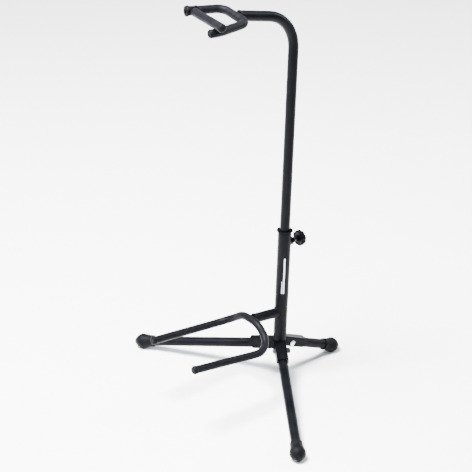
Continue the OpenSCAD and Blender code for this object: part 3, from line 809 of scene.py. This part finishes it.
@dataclass
class Cradle:
    """Body rest: stub on the mast and a bent rod in a smooth foam sleeve."""

    frame_at: MastFrame
    height: float = 139.0
    rise: float = 4.7
    reach: float = 75.0
    stub_d: float = 19.05
    mast_d: float = 25.4
    sleeve_d: float = 14.8
    steps: tuple[Step, ...] = ()
    base: float = 9.0
    hump: tuple[float, float] = (43.0, 35.0)
    link: float = 7.0
    corner: float = 37.0
    toe: float = 1.8
    arm: float = 135.0
    lip_r: float = 9.3
    lip: float = 0.85

    def __post_init__(self) -> None:
        """Works out the steps of one half of the rod."""
        down, toe = math.radians(self.hump[1]), math.radians(self.toe)
        heading = Vector((math.cos(down), 0, -math.sin(down)))
        normal = Vector((-math.sin(down), 0, -math.cos(down)))
        arm = Vector((-math.sin(toe), -math.cos(toe), 0))
        side = (arm - heading * arm.dot(heading)).normalized()
        roll = math.degrees(math.atan2(side.dot(heading.cross(normal)), side.dot(normal)))
        turn = math.degrees(math.acos(heading.dot(arm)))
        self.steps = ((self.base,), (self.hump[0], self.hump[1], 0.0), (self.link,),
                      (self.corner, turn, roll), (self.arm,))

    def _root(self) -> Matrix:
        """Frame at the stub's centre line on the mast, with the stub along -Y."""
        return self.frame_at.at(self.height) @ turned("X", -self.rise)

    def _start(self, side: int) -> Matrix:
        """Frame at the middle of the rod with +Z towards one side."""
        mirror = Matrix.Diagonal((side, 1.0, 1.0, 1.0))
        return self._root() @ moved(0, -self.reach, 0) @ mirror @ turned("Y", 90)

    def build(self) -> None:
        """Makes and dresses the cradle's pieces."""
        dress(Finish.COAT, "cradle_stub", "cradle_stem", "cradle_rod")
        self._sleeve()
        self._caps()
        self._welds()

    def _sleeve(self) -> None:
        """Foam sleeve over the rod, a little uneven along its length."""
        right = path_points(self._start(1), self.steps)
        left = path_points(self._start(-1), self.steps)
        points = list(reversed(left[1:])) + right
        size = self.sleeve_d / 2

        def radius(along: float, share: float, angle: float) -> float:
            """Radius with slow unevenness."""
            wave = noise.noise(Vector((along * 0.035, math.cos(angle) * 0.7, math.sin(angle) * 0.7)))
            return size - 0.12 + 0.1 * wave

        piece = swept("cradle_foam", points, radius, 44)
        place_piece(piece, Body.STAND, Slot.FOAM, Finish.CRADLE, "cradle_sleeve")

    def _caps(self) -> None:
        """Pressed rubber ends with a soft rim and a shallow dimple."""
        profile = rounded([(AXIS, -0.5), (8.1, -0.5), (8.1, 5.4), (5.6, 8.0), (2.6, 8.05), (AXIS, 7.6)], 2.2)
        profile = rounded(profile, 0.5, 2)
        for side, name in ((1, "right"), (-1, "left")):
            cap = turned_solid(f"cradle_end_{name}", path_end(self._start(side), self.steps), profile)
            if side < 0:
                cap.data.flip_normals()
            place_piece(cap, Body.STAND, Slot.RUBBER, Finish.RUBBER, f"cradle_cap_{name}")

    def _welds(self) -> None:
        """Bead where the stub meets the mast, ring at the stub's mouth and fillet on its plug."""
        place = self._root() @ turned("X", 90)
        rim, tube = self.stub_d / 2 + 0.4, self.mast_d / 2
        tilt = math.radians(self.rise)
        points = []
        for i in range(72):
            turn = 2 * math.pi * i / 72
            x, y = rim * math.cos(turn), rim * math.sin(turn)
            reach = (math.sqrt(tube ** 2 - x ** 2) + y * math.sin(tilt)) / math.cos(tilt)
            points.append(place @ (Vector((x, y, reach)) * MM))
        place_piece(swept("stub_weld", points, ripple(1.5, 0.18, 2.8), 14, True),
                    Body.STAND, Slot.PAINT, Finish.WELD)
        mouth = self.reach - self.sleeve_d / 2 - 0.9
        ring = ring_points(place, self.lip_r, mouth)
        place_piece(swept("stub_mouth_ring", ring, lambda a, s, t: self.lip, 12, True),
                    Body.STAND, Slot.PAINT, Finish.COAT)
        spigot = [(4.9, 66.2), (4.5, 66.8), (4.15, 67.6)]
        place_piece(turned_solid("stem_fillet", place, [(AXIS, 65.6), (5.4, 65.6)] + spigot, 40),
                    Body.STAND, Slot.PAINT, Finish.WELD)


@dataclass
class Neck:
    """Sliding gooseneck with the padded yoke at its end."""

    frame_at: MastFrame
    turn: float = 0.4
    bend_height: float = 673.0
    bend_r: float = 72.0
    bend_a: float = 79.0
    run: float = 78.0
    foam_d: float = 15.6
    pitch: float = 1.3
    roll: float = 6.9
    base: float = 18.5
    corner_r: float = 18.5
    splay: float = 11.4
    bow: tuple[float, float] = (90.0, 16.0)
    straight: float = 42.0
    long_arm: float = 71.0
    short_arm: float = 36.0
    lip_r: float = 9.25
    lip: float = 0.8
    collar_w: float = 1.6
    hub_w: float = 13.0
    side_gap: float = 0.2

    def _end(self) -> Matrix:
        """Frame at the middle of the yoke on the gooseneck's end, before pitch and roll."""
        bend = math.radians(self.bend_a)
        y = -self.bend_r * (1 - math.cos(bend)) - self.run * math.sin(bend)
        z = self.bend_height + self.bend_r * math.sin(bend) + self.run * math.cos(bend)
        return self.frame_at.at(0) @ turned("Z", self.turn) @ moved(0, y, z)

    def _side(self, side: int) -> Matrix:
        """Frame at the yoke's middle with +Z to one side and +X towards the arms."""
        tilt = turned("X", -self.pitch) @ turned("Y", self.roll)
        return self._end() @ tilt @ Matrix.Diagonal((side, 1, 1, 1)) @ turned("Y", 90) @ turned("Z", -90)

    def _long_steps(self) -> list[Step]:
        """Steps of the long arm, which bends inward."""
        bow = self.bow[0] * math.radians(self.bow[1])
        return [(self.base,), (self.corner_r, 90 - self.splay, 0.0), (self.straight,),
                (self.bow[0], self.bow[1], 0.0), (self.long_arm - self.straight - bow,)]

    def _short_steps(self) -> list[Step]:
        """Steps of the short arm, which is straight."""
        return [(self.base,), (self.corner_r, 90 - self.splay, 0.0), (self.short_arm,)]

    def tip(self) -> Matrix:
        """Frame at the short arm's end, with +Z along the arm."""
        return path_end(self._side(-1), self._short_steps())

    def build(self) -> None:
        """Makes and dresses the neck's pieces."""
        dress(Finish.COAT, "neck_tube", "yoke_stem", "yoke_rod", "pivot_collar")
        dress(Finish.NYLON, "guide_plug", "clamp_shoe")
        dress(Finish.SCREW, "pivot_screw")
        self._foam()
        self._tube_mouth()
        self._pivot_end()

    def _foam(self) -> None:
        """Foam sleeve of the yoke and the domed end of its long arm."""
        near = path_points(self._side(1), self._long_steps(), 1.5)
        far = path_points(self._side(-1), self._short_steps(), 1.5)
        points = list(reversed(far[1:])) + near
        size = self.foam_d / 2

        def radius(along: float, share: float, angle: float) -> float:
            """Radius with slow unevenness and small dents."""
            spot = Vector((along * 0.05, math.cos(angle) * 0.8, math.sin(angle) * 0.8))
            return size - 0.16 + 0.15 * noise.noise(spot) + 0.04 * math.sin(along * 1.9 + 3 * math.sin(angle))

        piece = swept("yoke_foam", points, radius, 44)
        place_piece(piece, Body.NECK, Slot.FOAM, Finish.FOAM, "yoke_sleeve")
        end = path_end(self._side(1), self._long_steps())
        profile = rounded([(AXIS, -0.4), (7.7, -0.4), (7.7, 2.2), (6.2, 4.6), (3.2, 4.9), (AXIS, 4.3)], 1.6)
        place_piece(turned_solid("yoke_arm_end", end, profile, 48), Body.NECK, Slot.RUBBER,
                    Finish.RUBBER, "yoke_cap")

    def _tube_mouth(self) -> None:
        """Rolled edge of the gooseneck's mouth."""
        place = self._end() @ turned("X", self.bend_a - 180)
        mouth = self.foam_d / 2 + 1.1
        ring = ring_points(place, self.lip_r, mouth)
        place_piece(swept("neck_mouth_ring", ring, lambda a, s, t: self.lip, 12, True),
                    Body.NECK, Slot.PAINT, Finish.COAT)

    def _pivot_end(self) -> None:
        """Lobed nut-like cap on the pivot's end, with a screw boss in its middle."""
        place = self.tip() @ moved(0, 0, self.collar_w + self.hub_w + 2 * self.side_gap)

        def lobes(radius: float, height: float, angle: float) -> float:
            """Shallow finger lobes on the rim only."""
            return 1 - 0.055 * (0.5 + 0.5 * math.cos(6 * angle)) * min(1.0, max(0.0, (radius - 6) / 3))

        profile = rounded([(AXIS, 0.0), (8.6, 0.0), (9.95, 0.9), (9.95, 4.4), (8.6, 6.0), (4.4, 6.0),
                           (3.9, 5.2), (3.3, 5.2), (3.2, 7.6), (2.4, 8.0), (AXIS, 8.0)], 0.9, 3)
        cap = turned_solid("pivot_end_cap", place, profile, 96, lobes)
        cap.data.flip_normals()
        place_piece(cap, Body.NECK, Slot.PLASTIC, Finish.PLASTIC, "pivot_cap")


@dataclass
class LockingBar:
    """Swinging bar that closes the yoke: hub, rod and a foam sleeve with a domed end."""

    neck: Neck
    hub_d: float = 16.4
    bore_r: float = 4.05
    reach: float = 124.0
    skew: float = 1.8
    foam_start: float = 10.65
    dome: float = 5.0
    rest_gap: float = 0.4

    def _hinge(self) -> Matrix:
        """Frame in the hub's middle with +Z along the pin and +X over the long arm."""
        corner = self.neck.base + self.neck.corner_r * math.cos(math.radians(self.neck.splay))
        splay, bow = math.radians(self.neck.splay), math.radians(self.neck.bow[1])
        middle = self.neck.collar_w + self.neck.side_gap + self.neck.hub_w / 2
        pin_half = corner + (self.neck.short_arm + middle) * math.sin(splay)
        rest_half = corner + self.neck.straight * math.sin(splay) + \
            self.neck.bow[0] * (math.cos(bow - splay) - math.cos(splay))
        lift = math.degrees(math.asin((self.neck.foam_d + self.rest_gap) / (pin_half + rest_half)))
        return self.neck.tip() @ moved(0, 0, middle) @ turned("Z", -lift)

    def build(self) -> None:
        """Makes and dresses the bar's pieces."""
        dress(Finish.COAT, "bar_rod")
        self._hub()
        self._foam()

    def _hub(self) -> None:
        """Hub with rounded rims and fine grip ribs."""
        def ribs(radius: float, height: float, angle: float) -> float:
            """Fine ribs round the hub's rim."""
            deep = 0.018 if abs(height) < self.neck.hub_w / 2 - 1.6 and radius > 7 else 0.0
            return 1 - deep * (0.5 + 0.5 * math.cos(24 * angle))

        half, rim, bore = self.neck.hub_w / 2, self.hub_d / 2, self.bore_r
        profile = rounded([(bore, -half), (rim, -half), (rim, -half + 1.7), (rim, half - 1.7),
                           (rim, half), (bore, half)], 0.9, 3)
        body = [(bore, -half)] + profile[1:-1] + [(bore, half), (bore, -half)]
        sides, place = 96, self._hinge()
        vertices, faces = [], []
        for radius, height in body[:-1]:
            for k in range(sides):
                angle = 2 * math.pi * k / sides
                size = radius * ribs(radius, height, angle)
                corner = Vector((size * math.cos(angle), size * math.sin(angle), height))
                vertices.append(place @ (corner * MM))
        rows = len(body) - 1
        for i in range(rows):
            a, b = i * sides, ((i + 1) % rows) * sides
            faces += [(a + k, a + (k + 1) % sides, b + (k + 1) % sides, b + k) for k in range(sides)]
        place_piece(solid("bar_hub_ring", vertices, faces), Body.BAR, Slot.PLASTIC, Finish.PLASTIC, "bar_hub")

    def _foam(self) -> None:
        """Foam sleeve with its closed, domed end."""
        place = self._hinge() @ turned("Y", -self.skew) @ turned("Y", 90)
        half = self.neck.foam_d / 2
        end = self.reach + self.dome
        runs = [self.foam_start + (self.reach - self.foam_start) * i / 60 for i in range(61)]
        sizes = [(half - 0.12, at) for at in runs]
        sizes[0] = (half - 1.0, runs[0])
        sizes.insert(1, (half - 0.3, runs[0] + 0.6))
        dome = [(half * math.cos(t) - 0.12 * math.cos(t), self.reach + (self.dome - 0.05) * math.sin(t))
                for t in (math.pi / 2 * i / 12 for i in range(1, 12))]
        profile = [(4.3, runs[0])] + sizes + dome + [(AXIS, end - 0.05)]

        def uneven(radius: float, height: float, angle: float) -> float:
            """Small dents along the foam."""
            spot = Vector((height * 0.05, math.cos(angle) * 0.8, math.sin(angle) * 0.8 + 4))
            return 1 - 0.012 + 0.012 * noise.noise(spot)

        piece = turned_solid("bar_foam", place, profile, 56, uneven)
        place_piece(piece, Body.BAR, Slot.FOAM, Finish.FOAM, "bar_sleeve", "bar_cap")


@dataclass
class Leg:
    """One folding leg in its bracket, with its pivot bolt and rubber foot."""

    name: str
    body: Body
    fold: str
    reach: float
    foot_h: float = 14.0

    def build(self) -> None:
        """Makes and dresses the leg's pieces."""
        dress(Finish.COAT, f"leg_{self.name}")
        dress(Finish.SHEET, f"bracket_{self.name}")
        dress(self._steel(), f"bolt_{self.name}", f"locknut_{self.name}")
        self._foot()

    def _steel(self) -> Finish:
        """Bright steel at the rear leg's pivot, blackened steel at the front ones."""
        return Finish.ZINC if self.name == "rear" else Finish.SCREW

    def _place(self) -> Matrix:
        """Frame at the pivot with +Z along the leg and +Y along the fold's axis."""
        turn = joint(self.fold)
        axis, pivot = Vector(turn["axis"]).normalized(), Vector(turn["pos_m"])
        out = axis.cross(Vector((0, 0, 1))).normalized()
        low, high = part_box(f"foot_{self.name}")
        if out.dot((low + high) / 2 - pivot) < 0:
            out = -out
        centre = Vector((pivot.x, pivot.y, 0)) + out * (self.reach * MM)
        centre.z = self.foot_h * MM
        along = (centre - pivot).normalized()
        across = axis.cross(along).normalized()
        axes = Matrix((across, axis, along)).transposed().to_4x4()
        return Matrix.Translation(centre) @ axes

    def _foot(self) -> None:
        """Acorn foot: ribbed collar, ridge and dome, pressed flat on the floor."""
        corners = [(9.6, -24.0), (11.6, -24.0), (11.9, -22.6), (11.9, -17.2), (12.1, -14.8), (13.3, -9.0),
                   (14.8, -3.0), (15.2, -0.5), (15.2, 1.6), (14.6, 4.2), (12.6, 8.6), (9.6, 12.4),
                   (7.4, 14.6), (6.8, 15.9), (4.6, 16.8), (AXIS, 17.0)]
        profile = rounded(corners, 1.6, 3)

        def ribs(radius: float, height: float, angle: float) -> float:
            """Shallow moulded flutes on the collar."""
            span = max(0.0, 1 - abs(height + 19.5) / 4.0) if radius > 11 else 0.0
            return 1 - 0.022 * span * (0.5 + 0.5 * math.cos(20 * angle))

        foot = turned_solid(f"foot_acorn_{self.name}", self._place(), profile, 80, ribs, floor=True)
        place_piece(foot, self.body, Slot.RUBBER, Finish.RUBBER, f"foot_{self.name}")


@dataclass
class Clamp:
    """Knob and screw that lock the neck's height."""

    frame_at: MastFrame
    height: float = 287.0
    reach: float = 32.4
    knob_d: float = 30.7
    knob_w: float = 12.0
    lobes: int = 8

    def build(self) -> None:
        """Makes and dresses the clamp's pieces."""
        dress(Finish.SCREW, "clamp_screw")
        self._knob()

    def _knob(self) -> None:
        """Lobed knob: rounded flutes, a recess towards the mast and a boss round the screw."""
        place = self.frame_at.at(self.height) @ turned("X", -90) @ moved(0, 0, self.reach)
        rim, thick = self.knob_d / 2, self.knob_w
        corners = [(3.5, -4.0), (6.4, -4.0), (6.4, 1.5), (rim - 4.2, 1.5), (rim - 3.8, 0.1),
                   (rim - 1.3, 0.0), (rim - 0.05, 1.7), (rim - 0.05, thick - 3.2), (rim - 2.2, thick - 0.9),
                   (rim - 5.0, thick - 0.5), (rim - 7.0, thick - 0.9), (AXIS, thick - 0.25)]
        profile = rounded(corners, 1.1, 3)

        def flutes(radius: float, height: float, angle: float) -> float:
            """Round flutes between the lobes of the rim."""
            share = min(1.0, max(0.0, (radius - (rim - 3.6)) / 2.4))
            wave = 0.5 + 0.5 * math.cos(self.lobes * angle)
            return 1 - 0.085 * share * wave ** 1.6

        piece = turned_solid("knob_grip", place, profile, 128, flutes)
        place_piece(piece, Body.KNOB, Slot.PLASTIC, Finish.KNOB, "clamp_knob")


# --------------------------------------------------------------------------- studio


@dataclass
class Studio:
    """Pale floor, soft lights and the camera."""

    frame_at: MastFrame
    azimuth: float = 52.75
    elevation: float = 27.75
    roll: float = -0.48
    distance: float = 2947.0
    side_shift: float = -80.63
    aim_height: float = 305.99
    lens: float = 119.6
    floor_size: float = 14.0

    def build(self) -> None:
        """Makes the floor, the lights and the camera."""
        self._floor()
        self._world()
        self._lights()
        self._camera()

    def _floor(self) -> None:
        """A wide floor in four panels."""
        half = self.floor_size / 2
        line = [-half, 0.0, half]
        corners = [Vector((x, y, 0.0)) for y in line for x in line]
        faces = [(i, i + 1, i + 4, i + 3) for i in (0, 1, 3, 4)]
        floor = solid("studio_floor", corners, faces)
        floor.data.materials.append(Finish.FLOOR.get())

    def _world(self) -> None:
        """Even pale surroundings."""
        world = bpy.data.worlds.new("pale_room")
        world.use_nodes = True
        background = world.node_tree.nodes["Background"]
        background.inputs["Color"].default_value = (0.95, 0.97, 1.0, 1.0)
        background.inputs["Strength"].default_value = 0.6
        bpy.context.scene.world = world

    def _lights(self) -> None:
        """Soft lamps: a key high over the stand, and tall cool strips in front and behind."""
        for name, place, aim, size, power, colour in (
            ("key", (-0.16, -0.98, 3.0), (0.0, 0.0, 0.1), (1.0, 1.0), 1000.0, (1.0, 1.0, 1.0)),
            ("strip", (-0.6, -2.4, 1.5), (0.0, 0.0, 0.45), (0.5, 2.4), 110.0, (0.80, 0.88, 1.0)),
            ("back", (0.4, 2.6, 1.6), (0.0, 0.0, 0.45), (0.5, 2.2), 110.0, (0.85, 0.91, 1.0)),
        ):
            data = bpy.data.lights.new(name, "AREA")
            data.shape, data.size, data.size_y = "RECTANGLE", *size
            data.energy, data.color = power, colour
            lamp = bpy.data.objects.new(name, data)
            lamp.location = place
            lamp.rotation_mode = "QUATERNION"
            lamp.rotation_quaternion = (Vector(aim) - Vector(place)).to_track_quat("-Z", "Y")
            bpy.context.scene.collection.objects.link(lamp)

    def _camera(self) -> None:
        """Camera at its fitted place, without depth of field."""
        around, up, roll = (math.radians(v) for v in (self.azimuth, self.elevation, self.roll))
        back = Vector((math.sin(around) * math.cos(up), -math.cos(around) * math.cos(up), math.sin(up)))
        right = Vector((math.cos(around), math.sin(around), 0.0))
        above = back.cross(right)
        across = right * math.cos(roll) + above * math.sin(roll)
        upright = above * math.cos(roll) - right * math.sin(roll)
        aim = self.frame_at.foot + right * (self.side_shift * MM)
        aim.z = self.aim_height * MM
        data = bpy.data.cameras.new("camera")
        data.lens, data.sensor_width = self.lens, 36.0
        camera = bpy.data.objects.new("camera", data)
        camera.matrix_world = Matrix.Translation(aim + back * (self.distance * MM)) @ \
            Matrix((across, upright, back)).transposed().to_4x4()
        bpy.context.scene.collection.objects.link(camera)
        bpy.context.scene.camera = camera


def main() -> None:
    """Builds the stand and its studio in order."""
    logging.basicConfig(level=logging.INFO, format="%(name)s: %(message)s", stream=sys.stdout)
    mast_frame = MastFrame()
    studio = Studio(mast_frame)
    studio.build()
    neck = Neck(mast_frame)
    parts = (
        Mast(mast_frame), Cradle(mast_frame), neck, LockingBar(neck), Clamp(mast_frame),
        Leg("front_right", Body.RIGHT_LEG, "right_leg_fold", 266.6),
        Leg("front_left", Body.LEFT_LEG, "left_leg_fold", 266.6),
        Leg("rear", Body.REAR_LEG, "rear_leg_fold", 109.6),
    )
    for part in parts:
        part.build()
        LOG.info("%s is done", type(part).__name__)


if __name__ == "__main__":
    main()
